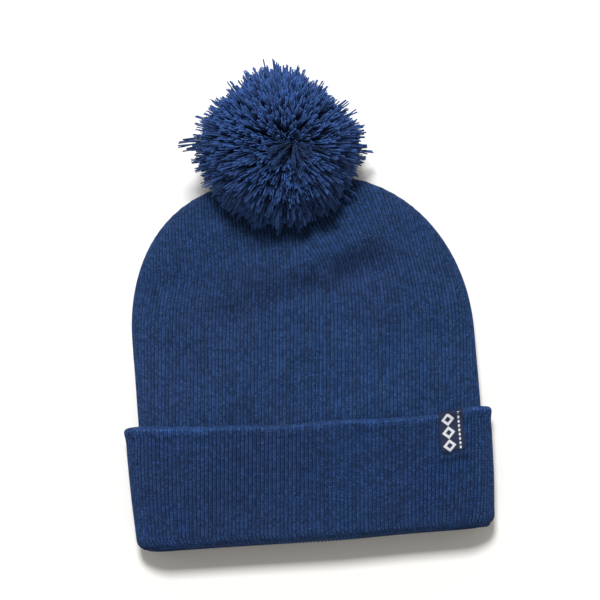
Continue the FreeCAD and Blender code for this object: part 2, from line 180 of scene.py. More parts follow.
def stadium(w, h, share):
    # a point of the flattened tube, counted from the middle of the front to the right, and the
    # way out from it
    straight = np.maximum(w - h, shortest)
    s = (share % 1.0) * girth(straight + h, h)
    bend = math.pi * h
    edges = [straight, straight + bend, 3 * straight + bend, 3 * straight + 2 * bend]
    sections = [s < edge for edge in edges]
    right = (s - edges[0]) / h
    left = (s - edges[2]) / h
    x = np.select(sections, [s, straight + h * np.sin(right), straight - (s - edges[1]),
                             -straight - h * np.sin(left)], s - edges[3] - straight)
    z = np.select(sections, [h, h * np.cos(right), -h, -h * np.cos(left)], h)
    nx = np.select(sections, [0 * s, np.sin(right), 0 * s, -np.sin(left)], 0)
    nz = np.select(sections, [0 * s + 1, np.cos(right), 0 * s - 1, -np.cos(left)], 1)
    return x, z, nx, nz


softness = {
    "overSeam": -0.7,            # deepest dip over the front seam allowance
    "seamEdge": (2.5, 9),        # where that limit begins and stops to fade, from the seam line
    "creaseEnds": (8, 10),       # how a crease fades, outside and inside its two ends
    "foldThinning": (0.24, 4),   # share of the thickness lost at the side folds, and its power
    "foldCalm": (26, 4, 0.6),    # the lumps fade from 26 to 4 mm off the fold, by this share
    "lowest": 0.15,              # above the table
    # creases: from x, height to x, height, then width and depth
    "creases": [
        (54, 160, -2, 145, 7.5, -7.5), (-2, 145, -56, 128, 10, -3.6),
        (48, 180, 2, 158, 8, 4.6), (2, 158, -40, 150, 10, 2.4),
        (-14, 110, 12, 111, 6.5, 1.5), (-14, 101, 12, 103, 6.5, -1.7),
        (-84, 158, -34, 138, 13, -2.6), (74, 128, 30, 108, 12, -1.6),
        (-88, 116, -52, 100, 10, -1.3), (-70, 88, -20, 80, 9, -1.2),
        (30, 92, 78, 84, 9, -1.2), (66, 150, 84, 118, 10, 1.0),
    ],
    "waves": [(0.11, 0.05, 0.7, 0.7), (0.05, -0.12, 2.1, 0.6), (0.17, 0.11, 4.0, 0.42),
              (-0.07, 0.19, 1.3, 0.4), (0.26, -0.06, 5.2, 0.26), (0.04, 0.31, 3.3, 0.26)],
}


# the seam allowance of the front dart lies under the outer layer, which can't sink into it
seamLow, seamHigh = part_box("crown_seam_front")
seamLine = (seamHigh[0] / mm, seamLow[1] / mm - hat["hemY"],
            seamLow[0] / mm, seamHigh[1] / mm - hat["hemY"])


def lineFrame(x, d, x0, d0, x1, d1):
    # distances along and beside a line on the hat, and the line's length
    length = math.hypot(x1 - x0, d1 - d0)
    ux, ud = (x1 - x0) / length, (d1 - d0) / length
    return (x - x0) * ux + (d - d0) * ud, (x - x0) * ud - (d - d0) * ux, length


def lumps(x, d):
    rise = np.zeros_like(x)
    outer, inner = softness["creaseEnds"]
    for x0, d0, x1, d1, width, depth in softness["creases"]:
        along, beside, length = lineFrame(x, d, x0, d0, x1, d1)
        reach = smooth(along, -outer, inner) * (1 - smooth(along, length - inner, length + outer))
        rise += depth * gauss(beside, width) * reach
    for kx, kd, phase, height in softness["waves"]:
        rise += height * np.sin(kx * x + kd * d + phase)
    along, beside, length = lineFrame(x, d, *seamLine)
    away = np.hypot(beside, np.maximum(np.maximum(-along, along - length), 0))
    held = 1 - smooth(away, *softness["seamEdge"])
    return rise * (1 - held) + np.maximum(rise, softness["overSeam"]) * held


def ribShape(u):
    # round ridges with a narrow groove where two of them meet
    return np.sqrt(np.abs(np.sin(math.pi * u)))


def pillow(x, z, nz, w, middle, d):
    # thinner towards the two side folds, softly uneven on top, flat where it lies
    lost, power = softness["foldThinning"]
    thin = 1 - lost * np.clip(np.abs(x) / w, 0, 1) ** power
    begin, end, calm = softness["foldCalm"]
    uneven = lumps(x, d) * (1 - smooth(np.abs(x), w - begin, w - end) * calm)
    return np.maximum(middle + z * thin + np.clip(nz, 0, 1) * uneven, softness["lowest"])


# four darts close the crown: front and back take in a little, the two side folds the rest
crown = {
    "start": 158,                # height where the darts begin
    "lean": 0.25,                # sideways for each millimetre that a dart rises
    "takenIn": 0.25,             # fabric that each side of the dart loses per millimetre
    "reach": 48,                 # how far from the dart the ribs still lean with it
    "centring": 6,               # how far below the tip the dart starts to turn to the middle
    "pathSteps": 900,            # points of the girth table
    "endSteps": 1200,            # points at which a column's end is looked for
}
columnsPerRib = 6
ribColumns = hat["ribs"] * columnsPerRib
pathTable = np.linspace(0, pathEnd, crown["pathSteps"])
quarterTable = [girth(*profile(pathTable, side)[1:]) / 4 for side in (False, True)]


def quarterAt(a, left):
    right, leftSide = (np.interp(a, pathTable, table) for table in quarterTable)
    return np.where(left, leftSide, right)


# the front dart lies beside the middle line, where the ribs to its left and right have one pitch
crown["dartX"] = float(2 * (quarterAt(crown["start"], False) * (0.5 - hat["ribsRight"] / hat["ribs"])
                            - quarterAt(crown["start"], True) * hat["ribsRight"] / hat["ribs"]))


def dartAt(a):
    x = crown["dartX"] - crown["lean"] * np.clip(a - crown["start"], 0, hat["height"] - crown["start"])
    return x * (1 - smooth(a, hat["height"] - crown["centring"], pathEnd))


def foldShare(column):
    # signed share of the girth from the nearest of the front and back darts, and whether it is behind
    right = hat["ribsRight"] * columnsPerRib
    behind = (column > right) & (column <= right + ribColumns // 2)
    signed = np.where(behind, 2 * right - column, np.where(column > right, column - ribColumns, column))
    return signed / ribColumns, behind


def ribDistance(share):
    return share * (quarterAt(crown["start"], False) - crown["dartX"]) * hat["ribs"] / hat["ribsRight"]


def ribAt(distance, a):
    # side position of a rib above the start of the darts, and how far it still is from the dart
    taken = crown["takenIn"] * np.clip(a - crown["start"], 0, None)
    beside = np.abs(distance) - taken
    drift = dartAt(a) - crown["dartX"] - np.sign(distance) * taken
    return crown["dartX"] + distance + drift * np.exp(-np.clip(beside, 0, None) / crown["reach"]), beside


def columnEnds():
    # the path length at which each column runs into a dart or a side fold
    distance = ribDistance(foldShare(np.arange(ribColumns + 1))[0])
    a = np.linspace(crown["start"], pathEnd, crown["endSteps"])
    s = ribAt(distance[:, None], a[None])[0]
    over = np.abs(s) - quarterAt(np.broadcast_to(a, s.shape), s < 0)
    reached = over >= -tiny
    hit = np.where(reached.any(axis=1), np.argmax(reached, axis=1), len(a) - 1)
    before = np.maximum(hit - 1, 0)
    rows = np.arange(len(distance))
    rise = np.maximum(over[rows, hit] - over[rows, before], tiny)
    part = np.clip(-over[rows, before] / rise, 0, 1)
    fold = np.where(hit == 0, a[0], a[before] + (a[hit] - a[before]) * part)
    dart = crown["start"] + np.abs(distance) / crown["takenIn"]
    return np.minimum(fold, dart), fold <= dart


endOfColumn, endsAtFold = columnEnds()


def crownColumns(u, a):
    column = np.rint(u * ribColumns).astype(int)
    share, behind = foldShare(column)
    distance = ribDistance(share)
    ended = a >= endOfColumn[column]
    a = np.minimum(a, endOfColumn[column])
    s, beside = ribAt(distance, np.maximum(a, crown["start"]))
    quarter = quarterAt(np.maximum(a, crown["start"]), s < 0)
    place = np.clip(s / quarter / 4, -0.25, 0.25)
    place = np.where(ended & endsAtFold[column], np.sign(s) * 0.25, place)
    fromFold = (0.25 - np.abs(place)) * 4 * quarter
    place = np.where(behind, 0.5 - place, place)
    turned = hat["twist"] * np.minimum(a - crown["start"], 0) / (4 * quarter)
    return a, place + turned, np.clip(beside, 0, None), fromFold


# the body: outer layer, fold at its hem and lining, as one closed shell
body = {
    "outerRows": 54,
    "hemRows": 4,
    "liningRows": 20,
    "hem": 5.2,                  # lower edge, inside the cuff
    "thickness": 4.6,            # outer layer to lining
    "liningLength": 0.93,
    "ribHeight": 1.0,
    "coursePitch": 1.65,
    "dartDepth": 1.5,
    "dartWidth": 1.3,
    "tipFade": (4, 14),          # half widths between which the lining parts from the outer layer
    "deepest": 0.9,              # share of the half height that the lining may take
    "dartStart": (8, 10),        # ribs grow calm from below to above the start of the darts
    "dartOpen": (2, 24),         # and the dart's valley deepens above it
    "calmDart": 2.0,             # from the dart out to full ribs
    "calmFold": 3.0,
    "calm": 0.7,                 # share of a rib lost beside a dart or fold
    "liningRib": -0.6,           # ribs of the lining, as a share of the outer ones
    "flatRows": 200,             # heights at which the flat area is added up
}
bodyRows = body["outerRows"] + body["hemRows"] + body["liningRows"]


def placeBody(u, v):
    outerPart = body["outerRows"] / bodyRows
    hemPart = outerPart + body["hemRows"] / bodyRows
    fold = np.clip((v - outerPart) / (hemPart - outerPart), 0, 1)
    inside = v > hemPart + 1e-6    # beyond the last row of the hem
    down = pathEnd + (body["hem"] - pathEnd) * np.clip(v / outerPart, 0, 1)
    up = body["hem"] + (pathEnd - body["hem"]) * np.clip((v - hemPart) / (1 - hemPart), 0, 1)
    a, share, fromDart, fromFold = crownColumns(u, np.where(inside, up, down))
    d, w, h = profile(a, share % 1.0 > 0.5)
    depth = body["thickness"] * (1 - np.cos(fold * math.pi)) / 2
    d = d - body["thickness"] / 2 * np.sin(fold * math.pi)
    x, z, nx, nz = stadium(w - depth * smooth(w, *body["tipFade"]),
                           h - np.minimum(depth, h * body["deepest"]), share)
    above = smooth(a, crown["start"] - body["dartStart"][0], crown["start"] + body["dartStart"][1])
    opened = smooth(a, crown["start"] + body["dartOpen"][0], crown["start"] + body["dartOpen"][1])
    beyond = np.clip((a - hat["height"]) / hat["closing"], 0, 1)
    near = np.minimum(smooth(fromDart, 0, body["calmDart"]), smooth(fromFold, 0, body["calmFold"]))
    fade = 1 - body["calm"] * above * (1 - near)
    lift = body["ribHeight"] * (ribShape(u * hat["ribs"] + 0.5) - 1) * fade
    lift = (lift - body["dartDepth"] * gauss(fromDart, body["dartWidth"]) * opened) * (1 - beyond)
    lift = np.where(depth > body["thickness"] / 2, body["liningRib"] * lift, lift)
    x = x + nx * lift
    z = z + nz * lift
    middle = middleAt(d)
    d = np.where(inside, body["hem"] + (d - body["hem"]) * body["liningLength"], d)
    z = pillow(x, z, nz, w, middle, d)
    points = np.column_stack([x, hat["hemY"] + d, z])
    uv = np.column_stack([u * hat["ribs"] + 0.5, a / body["coursePitch"]])
    return points, uv


bodyKnit = fabricGrid("bodyKnit", ribColumns, bodyRows, placeBody)
weld(bodyKnit)
print("body", len(bodyKnit.data.polygons))


# the cuff: one closed band of face, lower fold, backing and rolled top edge
cuff = {
    "height": (cuffHigh[1] - cuffLow[1]) / mm,
    "wall": 4.8,                 # from the body out to the face
    "gap": 0.35,
    "inner": -4.5,               # how far the lower fold reaches in, over the lining
    "faceRows": 52,
    "foldRows": 9,
    "backRows": 7,
    "topRows": 8,
    "flare": (1.0, 1.6),         # how the right and left ends spread towards the top edge
    "narrow": (1.4, 1.6),        # and how they draw in towards the lower one
    "cornerRadius": 7.5,
    "ribHeight": 1.05,
    "coursePitch": 1.65,
    "backSlack": (0.15, 0.2),    # steps up from the lower fold to the backing
    "ends": (40, 100),           # from the middle out, where the two ends change shape
    "corners": (60, 104),
    "cornerDraw": (1.1, 20),     # how far the ends draw in near the lower fold, and how high
    "flarePower": 1.3,
    "topSwell": 1.5,
    "topBand": (2.4, 2.6),       # the swell's distance below the top edge, and its spread
    "underSwell": (0.7, 9, 4.0),
    "lowSwell": (0.4, 4, 4),
    "pinch": 3.4,                # how far the fabric rises below the label's foot
    "pinchLine": (1.3, 0.06, 1.3),    # below the foot, slope and spread
    "pinchEnds": (1.5, 6.5, 10.5),
    "edgeWaves": [(0.045, 1.0, 0.6), (0.11, 0, 0.3)],    # uneven top edge: rate, phase, height
    "edgeLevel": -1.4,
    "edgeRise": [(4.4, 66, 99), (4.6, 0, 100)],          # at the right and left ends
    "hemShape": (1.1, 1.4, 60, 0.4, 0.03, 0.4),          # lower edge: level, rise to the right, wave
    "waves": [(0.07, 0.05, 0, 0.7), (0.031, -0.11, 2, 0.55), (0.13, 0.09, 1, 0.3)],
    "thinning": 0.14,
    "lowest": 0.1,
    "backShare": 0.3,            # how much of the swells the underside takes
    "labelX": (labelLow[0] + labelHigh[0]) / 2 / mm,
    "labelFoot": (labelLow[1] - cuffLow[1]) / mm,
}


def cuffPath():
    # the band's cross-section as height above the hem and distance out from the body
    top, wall, gap, inner = cuff["height"], cuff["wall"], cuff["gap"], cuff["inner"]
    roll = (wall - gap) / 2
    turn = (wall - inner) / 2
    steps = []
    for step in range(cuff["faceRows"]):
        steps.append((top - roll + (turn - top + roll) * step / cuff["faceRows"], wall))
    for step in range(cuff["foldRows"]):
        angle = math.pi * step / cuff["foldRows"]
        steps.append((turn - turn * math.sin(angle), wall - turn * (1 - math.cos(angle))))
    steps.append((turn, inner))
    slack, backFoot = cuff["backSlack"]
    steps.append((turn + slack, (inner + gap) / 2))
    for step in range(cuff["backRows"]):
        steps.append((turn + backFoot + (top - roll - turn - backFoot) * step / cuff["backRows"], gap))
    for step in range(cuff["topRows"] + 1):
        angle = math.pi * step / cuff["topRows"]
        steps.append((top - roll + roll * math.sin(angle), gap + roll * (1 - math.cos(angle))))
    return np.array(steps)


cuffSteps = cuffPath()
# the band closes on itself, so its first and last steps share one slope
cuffSlopes = np.roll(cuffSteps[:-1], -1, axis=0) - np.roll(cuffSteps[:-1], 1, axis=0)
cuffSlopes = np.vstack([cuffSlopes, cuffSlopes[:1]])


def topSwell(d):
    return bulge(d, cuff["topSwell"], cuff["height"] - cuff["topBand"][0], cuff["topBand"][1])


def cuffSwell(x, d):
    # soft roll under the top edge, fuller lower edge, and the pinch where the label goes in
    below, slope, spread = cuff["pinchLine"]
    shift, start, end = cuff["pinchEnds"]
    size, down, width = cuff["underSwell"]
    swell = topSwell(d) - bulge(d, size, cuff["height"] - down, width)
    pinch = gauss(d - (cuff["labelFoot"] - below + slope * (x - cuff["labelX"])), spread)
    pinch = pinch * (1 - smooth(np.abs(x - cuff["labelX"] - shift), start, end))
    return swell + bulge(d, *cuff["lowSwell"]) + cuff["pinch"] * pinch


def cuffPoint(x, d, z, nz, face, across):
    # the uneven edge and surface of the band as it lies
    share = d / cuff["height"]
    (right, rightFrom, rightTo), (left, leftFrom, leftTo) = cuff["edgeRise"]
    edge = sum(np.sin(x * rate + phase) * height for rate, phase, height in cuff["edgeWaves"])
    edge = edge + cuff["edgeLevel"] + right * smooth(x, rightFrom, rightTo)
    edge = (edge + left * smooth(-x, leftFrom, leftTo)) * share
    level, tilt, tiltTo, wave, rate, phase = cuff["hemShape"]
    y = d + edge + (level + tilt * smooth(x, 0, tiltTo) - wave * np.sin(x * rate + phase)) * (1 - share)
    soft = sum(height * np.sin(kx * x + kd * d + turn) for kx, kd, turn, height in cuff["waves"])
    z = z * (1 - cuff["thinning"] * np.clip(np.abs(x) / across, 0, 1) ** 4)
    z = z + np.clip(nz, 0, 1) * soft * face
    return np.column_stack([x, hat["hemY"] + y, np.maximum(hat["cuffMiddle"] + z, cuff["lowest"])])


def placeCuff(u, v):
    row = v * (len(cuffSteps) - 1)
    number = np.arange(len(cuffSteps))
    d = np.interp(row, number, cuffSteps[:, 0])
    out = np.interp(row, number, cuffSteps[:, 1])
    run = np.concatenate([[0], np.cumsum(np.hypot(*np.diff(cuffSteps, axis=0).T))])
    course = np.interp(row, number, run)
    h = hat["halfThick"] + out
    w = hat["halfWidth"] + out
    face = smooth(out, cuff["wall"] - 1.2, cuff["wall"])
    share = u - hat["twist"] * (cuff["height"] - d) * face / girth(w, h)
    x, z, nx, nz = stadium(w, h, share)
    slopeD = np.interp(row, number, cuffSlopes[:, 0])
    slopeOut = np.interp(row, number, cuffSlopes[:, 1])
    length = np.hypot(slopeD, slopeOut) + tiny
    outward, alongHat = -slopeD / length, slopeOut / length
    front = face * np.where(nz > 0.5, 1.0, cuff["backShare"])
    lift = cuff["ribHeight"] * (ribShape(u * hat["ribs"]) - 1) + cuffSwell(x, d) * front
    x = x + nx * lift * outward
    z = z + nz * lift * outward
    # the two ends: rounded lower corners, and sides that spread towards the top edge
    side = smooth(np.abs(x), *cuff["ends"])
    flare = np.where(x > 0, cuff["flare"][0], cuff["flare"][1]) * (d / cuff["height"]) ** cuff["flarePower"]
    drawn = np.where(x > 0, cuff["narrow"][0], cuff["narrow"][1]) * (1 - d / cuff["height"])
    radius = cuff["cornerRadius"]
    low = np.clip(radius - d, 0, radius)
    atCorner = smooth(np.abs(x), *cuff["corners"])
    corner = (radius - np.sqrt(radius ** 2 - low ** 2)) * atCorner
    draw = cuff["cornerDraw"][0] * atCorner * gauss(d, cuff["cornerDraw"][1])
    x = x + np.sign(x) * ((flare - drawn) * side - corner - draw)
    points = cuffPoint(x, d + alongHat * lift, z, nz, face, w)
    uv = np.column_stack([u * hat["ribs"], course / cuff["coursePitch"]])
    return points, uv


cuffKnit = fabricGrid("cuffKnit", ribColumns, len(cuffSteps) - 1, placeCuff)
weld(cuffKnit)
print("cuff", len(cuffKnit.data.polygons))


# the woven label: its lower end goes into the cuff, its upper end over the rolled edge and behind
label = {
    "width": 14,
    "face": cuff["height"] - cuff["labelFoot"],
    "behind": 6.5,
    "thickness": 0.6,
    "standOff": 0.55,
    "edge": 0.2,
    "bow": 0.5,
    "footTuck": (2.2, 1.4),      # how far its foot dips into the cuff, and along how much of it
    "sideDip": (0.2, 4),
    "columns": 28,
    "rows": 64,
}


def placeLabel(u, v):
    across = (u - 0.5) * label["width"]
    x = cuff["labelX"] + across
    run = v * (label["face"] + label["behind"])
    rollCentre = cuff["height"] - (cuff["wall"] - cuff["gap"]) / 2
    roll = (cuff["wall"] - cuff["gap"]) / 2 + label["standOff"]
    climbed = run - (rollCentre - cuff["labelFoot"])
    turn = np.clip(climbed / roll, 0, math.pi)
    flat = climbed < 0
    d = np.where(flat, rollCentre + climbed, rollCentre + roll * np.sin(turn))
    out = np.where(flat, cuff["wall"] + label["standOff"],
                   (cuff["wall"] + cuff["gap"]) / 2 + roll * np.cos(turn))
    swell = np.where(flat, topSwell(d), cuff["topSwell"] * np.cos(turn / 2))
    bow = label["bow"] * np.sin(np.clip(run / label["face"], 0, 1) * math.pi)
    dip, power = label["sideDip"]
    out = out + swell + bow - bulge(run, label["footTuck"][0], 0, label["footTuck"][1])
    out = out - dip * (np.abs(across) / label["width"] * 2) ** power
    ones = np.ones_like(x)
    points = cuffPoint(x, d, hat["halfThick"] + out, ones, ones, hat["halfWidth"] + cuff["wall"])
    return points, np.column_stack([across, run])


sideLabel = fabricGrid("sideLabel", label["columns"], label["rows"], placeLabel)
setActive(sideLabel)
solid = sideLabel.modifiers.new("cloth", "SOLIDIFY")
solid.thickness = label["thickness"] * mm
solid.offset = -1
soften = sideLabel.modifiers.new("edge", "BEVEL")
soften.width = label["edge"] * mm
soften.segments = 2
soften.limit_method = "ANGLE"
for modifier in ("cloth", "edge"):
    bpy.ops.object.modifier_apply(modifier=modifier)
bpy.ops.object.shade_smooth()
print("label", len(sideLabel.data.polygons))


# the pom: cut yarn, tied at the middle, that parts on top and lies down over the crown
pom = {
    "centre": np.array([-6.0, (bindLow[1] + bindHigh[1]) / 2 / mm - 0.5,
                        (bindLow[2] + bindHigh[2]) / 2 / mm + 4]),
    "radius": np.array([44.5, 42.5, 43.0]),
    "yarns": 5200,
    "filaments": 3,
    "filament": 0.32,           # radius of one
    "spread": 0.95,             # how far the filaments of a yarn part at its cut end
    "sides": 4,
    "segments": 5,
    "parting": (13.0, -9.0, 40.0),
    "wobble": (0.7, 9, 0.4),    # waviness of a filament: size, rate, and share of its length to grow
    "thickening": (0.85, 0.25, 0.75, 0.97),   # root, gain towards the cut end, and where
    "lowest": 0.3,
    "overHat": 2.0,             # how far the yarns keep off the knit
    "overTable": 0.8,
    "lobes": [(0.05, 95, 13), (-0.10, 36, 14), (0.03, 2, 16),    # size, direction in degrees, spread
              (-0.05, 130, 14), (0.02, 165, 12), (-0.05, 60, 11)],
    "clumps": 420,
    "clumping": 0.38,
    "trimming": 0.028,          # unevenness of the cut
    "lowSide": (-0.3, 0.6),     # which yarns hang down over the crown
    "hollow": (0.36, 0.06, 0.30, 0.20),    # at the parting: depth and width, each with its low-side gain
    "rim": (0.06, 0.9, 0.35),
    "fold": (0.06, 0.40, 0.62, 0.30),      # how far yarns turn back to the parting
    "bend": 0.06,
    "curve": ((0.18, 1.0), (0.45, 0.85), (0.78, 0.45), (1.0, 0.0)),
    "pushOut": 0.2,
    "loose": (0, 2.4),          # how far settled yarns lie above each other
    "overhang": 14,             # how far beyond the hat's edge the yarns are still held up by it
    "seed": 7,
}
rng = np.random.default_rng(pom["seed"])


def strandTemplate():
    # one strand, modelled once: a thin rod cut into segments
    deselectAll()
    bpy.ops.mesh.primitive_cylinder_add(vertices=pom["sides"], radius=1, depth=1,
                                        location=(0, 0, 0.5), end_fill_type="TRIFAN")
    rod = bpy.context.object
    bpy.ops.object.transform_apply(location=True, rotation=True, scale=True)
    bpy.ops.object.mode_set(mode="EDIT")
    for step in range(1, pom["segments"]):
        bpy.ops.mesh.select_all(action="SELECT")
        bpy.ops.mesh.bisect(plane_co=(0, 0, step / pom["segments"]), plane_no=(0, 0, 1))
    bpy.ops.mesh.select_all(action="SELECT")
    bpy.ops.mesh.quads_convert_to_tris()
    bpy.ops.object.mode_set(mode="OBJECT")
    points = readPoints(rod.data)
    faces = np.array([list(face.vertices) for face in rod.data.polygons])
    bpy.data.objects.remove(rod)
    return points, faces


def strandMesh(name, template, curves, radii, firstId):
    # curves: four control points for each strand
    points, faces = template
    count = len(curves)
    t = points[:, 2][None, :, None]
    p0, p1, p2, p3 = (curves[:, i][:, None, :] for i in range(4))
    line = (1 - t) ** 3 * p0 + 3 * (1 - t) ** 2 * t * p1 + 3 * (1 - t) * t ** 2 * p2 + t ** 3 * p3
    slope = 3 * (1 - t) ** 2 * (p1 - p0) + 6 * (1 - t) * t * (p2 - p1) + 3 * t ** 2 * (p3 - p2)
    slope = unit(slope)
    side = unit(np.cross(p3 - p0, rng.normal(size=(count, 1, 3))))
    first = unit(np.cross(slope, side))
    second = np.cross(slope, first)
    wave = rng.uniform(0, 6.28, (count, 1, 1))
    size, rate, grown = pom["wobble"]
    wobble = size * np.sin(t * rate + wave) * smooth(t, 0, grown)
    root, gain, gainFrom, gainTo = pom["thickening"]
    thick = radii[:, None, None] * (root + gain * smooth(t, gainFrom, gainTo))
    place = line + first * (points[:, 0][None, :, None] * thick + wobble)
    place = place + second * points[:, 1][None, :, None] * thick
    place[..., 2] = np.maximum(place[..., 2], pom["lowest"])
    mesh = bpy.data.meshes.new(name)
    allFaces = (faces[None] + (np.arange(count) * len(points))[:, None, None]).reshape(-1, 3)
    mesh.vertices.add(count * len(points))
    mesh.vertices.foreach_set("co", (place * mm).ravel())
    mesh.loops.add(allFaces.size)
    mesh.loops.foreach_set("vertex_index", allFaces.ravel())
    mesh.polygons.add(len(allFaces))
    mesh.polygons.foreach_set("loop_start", np.arange(0, allFaces.size, 3))
    mesh.update(calc_edges=True)
    mesh.uv_layers.new(name="strand")
    around = (np.arctan2(points[:, 1], points[:, 0]) / (2 * math.pi)) % 1.0
    uv = np.empty((count, len(points), 2))
    uv[..., 0] = firstId + np.arange(count)[:, None] + 0.02 + 0.9 * around[None]
    uv[..., 1] = points[:, 2][None]
    writeUv(mesh, uv.reshape(-1, 2))
    mesh.validate()
    piece = bpy.data.objects.new(name, mesh)
    bpy.context.scene.collection.objects.link(piece)
    setActive(piece)
    bpy.ops.object.shade_smooth()
    return piece


def crownTop(x, y):
    # height of the hat's upper surface under the pom, falling to the table beyond its edge
    d = np.clip(y - hat["hemY"], 0, hat["height"])
    w = halfWidthAt(d, x < 0)
    past = np.maximum(np.abs(x) - w, y - hat["hemY"] - hat["height"])
    top = middleAt(d) + halfHeightAt(d) + pom["overHat"] + np.clip(lumps(x, d), 0, None)
    return pom["overTable"] + (top - pom["overTable"]) * (1 - smooth(past, 2, pom["overhang"]))


def settle(points, loose):
    # strands that meet the hat or the table lie on top of it
    ground = crownTop(points[:, 0], points[:, 1]) + loose
    points[:, 2] = np.maximum(points[:, 2], ground)
    return points


def ballDirections(count):
    index = np.arange(count) + 0.5
    z = 1 - 2 * index / count
    turn = index * math.pi * (1 + 5 ** 0.5)
    r = np.sqrt(1 - z * z)
    directions = np.column_stack([r * np.cos(turn), r * np.sin(turn), z])
    return unit(directions + rng.normal(scale=0.03, size=(count, 3)))


partingAxis = unit(np.array(pom["parting"]))
upward = np.array([0, 0, 1.0])


def level(turn):
    # level directions for a set of turns
    return np.column_stack([np.cos(turn), np.sin(turn), np.zeros(len(turn))])


def tilted(aim, share):
    # directions moved part of the way back to the parting
    angle = np.arccos(np.clip(aim @ partingAxis, -1, 1))[:, None]
    beside = unit(aim - (aim @ partingAxis)[:, None] * partingAxis)
    turned = angle * share[:, None]
    return partingAxis * np.cos(turned) + beside * np.sin(turned)


def outline(aim):
    # uneven trimming: a crest at the top, a notch on the right, shallow hollows elsewhere
    turn = np.degrees(np.arctan2(aim[:, 1], aim[:, 0]))
    flat = np.hypot(aim[:, 0], aim[:, 1]) ** 2
    lobes = sum(bulge(turn, *lobe) for lobe in pom["lobes"])
    uneven = 0.024 * np.sin(aim[:, 0] * 7 + 1) * np.sin(aim[:, 1] * 6 + 2)
    uneven = uneven + 0.02 * np.sin(aim[:, 2] * 9 + aim[:, 0] * 5)
    return 1 + lobes * flat + uneven


def splay(curves, count, spread):
    # the filaments of each yarn, side by side at its root and apart at its cut end
    curves = np.repeat(curves, count, axis=0)
    along = unit(curves[:, 3] - curves[:, 2])
    side = unit(np.cross(along, rng.normal(size=along.shape)))
    side = side * rng.uniform(0.5, 1.0, (len(curves), 1)) * spread
    curves[:, 1] += side * 0.45
    curves[:, 2] += side * 0.55
    curves[:, 3] += side + along * rng.normal(scale=0.5, size=(len(curves), 1))
    return curves


def ballYarns():
    aim = ballDirections(pom["yarns"])
    centre = pom["centre"]
    angle = np.arccos(np.clip(aim @ partingAxis, -1, 1))
    low = smooth(-aim[:, 1] / np.maximum(np.hypot(aim[:, 0], aim[:, 1]), 0.05), *pom["lowSide"])
    reach = outline(aim) * (1 + rng.normal(scale=pom["trimming"], size=len(aim)))
    depth, lowDepth, width, lowWidth = pom["hollow"]
    reach = reach * (1 - (depth + lowDepth * low) * gauss(angle, width + lowWidth * low))
    size, place, spread = pom["rim"]
    reach = reach * (1 - size * low * gauss(angle - place, spread))
    least, atParting, width, atLow = pom["fold"]
    fold = least + atParting * gauss(angle, width) + atLow * low
    bend = rng.normal(scale=pom["bend"], size=(len(aim), 3))
    clumps = ballDirections(pom["clumps"])
    nearest = clumps[np.argmax(aim @ clumps.T, axis=1)]
    aim = unit(aim + (nearest - aim) * pom["clumping"])
    points = []
    for share, straight in pom["curve"]:
        way = tilted(aim, 1 - fold * straight)
        points.append(centre + (way + bend * share) * (reach * share)[:, None] * pom["radius"])
    sunk = np.clip(crownTop(points[3][:, 0], points[3][:, 1]) - points[3][:, 2], 0, None)
    flat = unit(np.column_stack([aim[:, 0], aim[:, 1], np.zeros(len(aim))]))
    points[3] = points[3] + flat * (sunk * pom["pushOut"])[:, None]
    loose = rng.uniform(*pom["loose"], len(aim))
    points = [points[0]] + [settle(point, loose) for point in points[1:]]
    return splay(np.stack(points, axis=1), pom["filaments"], pom["spread"])


# long yarns that leave the parting and lie down over the crown, in loose locks
skirt = {
    "yarns": 330,
    "lock": 6,                  # yarns in one lock
    "root": 24,                 # how far along the parting they start
    "rootSpread": 1.5,
    "fan": (-math.pi * 1.03, 0.06 * math.pi),
    "reach": (0.62, 1.08),
    "lift": (-2.5, 3.5),
    "curl": 2.4,
    "curve": ((0.3, 0.34, 0.86), (0.7, 0.78, 0.72), (1.0, 1.0, 0.30)),    # share, way out, height
    "loose": (0.4, 3.2),
}


def lockwise(values, scale):
    # one value for each lock of the skirt, a little different in each of its yarns
    values = np.repeat(values, skirt["lock"], axis=0)
    return values + rng.normal(scale=scale, size=values.shape)


def skirtYarns():
    locks = skirt["yarns"] // skirt["lock"]
    count = locks * skirt["lock"]
    flat = level(lockwise(rng.uniform(*skirt["fan"], locks), 0.05))
    reach = np.repeat(rng.uniform(*skirt["reach"], locks), skirt["lock"])
    reach = reach * (1 + rng.normal(scale=0.05, size=count))
    lift = lockwise(rng.uniform(*skirt["lift"], locks), 0.7)
    curl = lockwise(rng.normal(scale=skirt["curl"], size=(locks, 3)), 0.8)
    points = [pom["centre"] + partingAxis * skirt["root"] + flat * skirt["rootSpread"]]
    for share, across, tall in skirt["curve"]:
        point = pom["centre"] + flat * (reach * across)[:, None] * pom["radius"]
        point = point + upward * (pom["radius"][2] * tall * (1.08 - 0.4 * reach) + lift)[:, None]
        points.append(point + curl * share)
    loose = rng.uniform(*skirt["loose"], count)
    points = [points[0]] + [settle(point, loose) for point in points[1:]]
    return splay(np.stack(points, axis=1), 2, pom["spread"] * 0.7)


# the loose ends of the tie, standing out of the parting, and a few yarns cut too long
tie = {
    "ends": 14,
    "root": 27,
    "turn": (-2.2, 0.55),       # middle and spread
    "length": (11, 20),
    "curve": ((0, 0), (11, 0.12), (15, 0.55), (11, 1)),    # height, and share of the length
    "strays": 26,
    "scattered": 8,             # strays on the other sides than the left
    "strayReach": (0.95, 1.02),
}


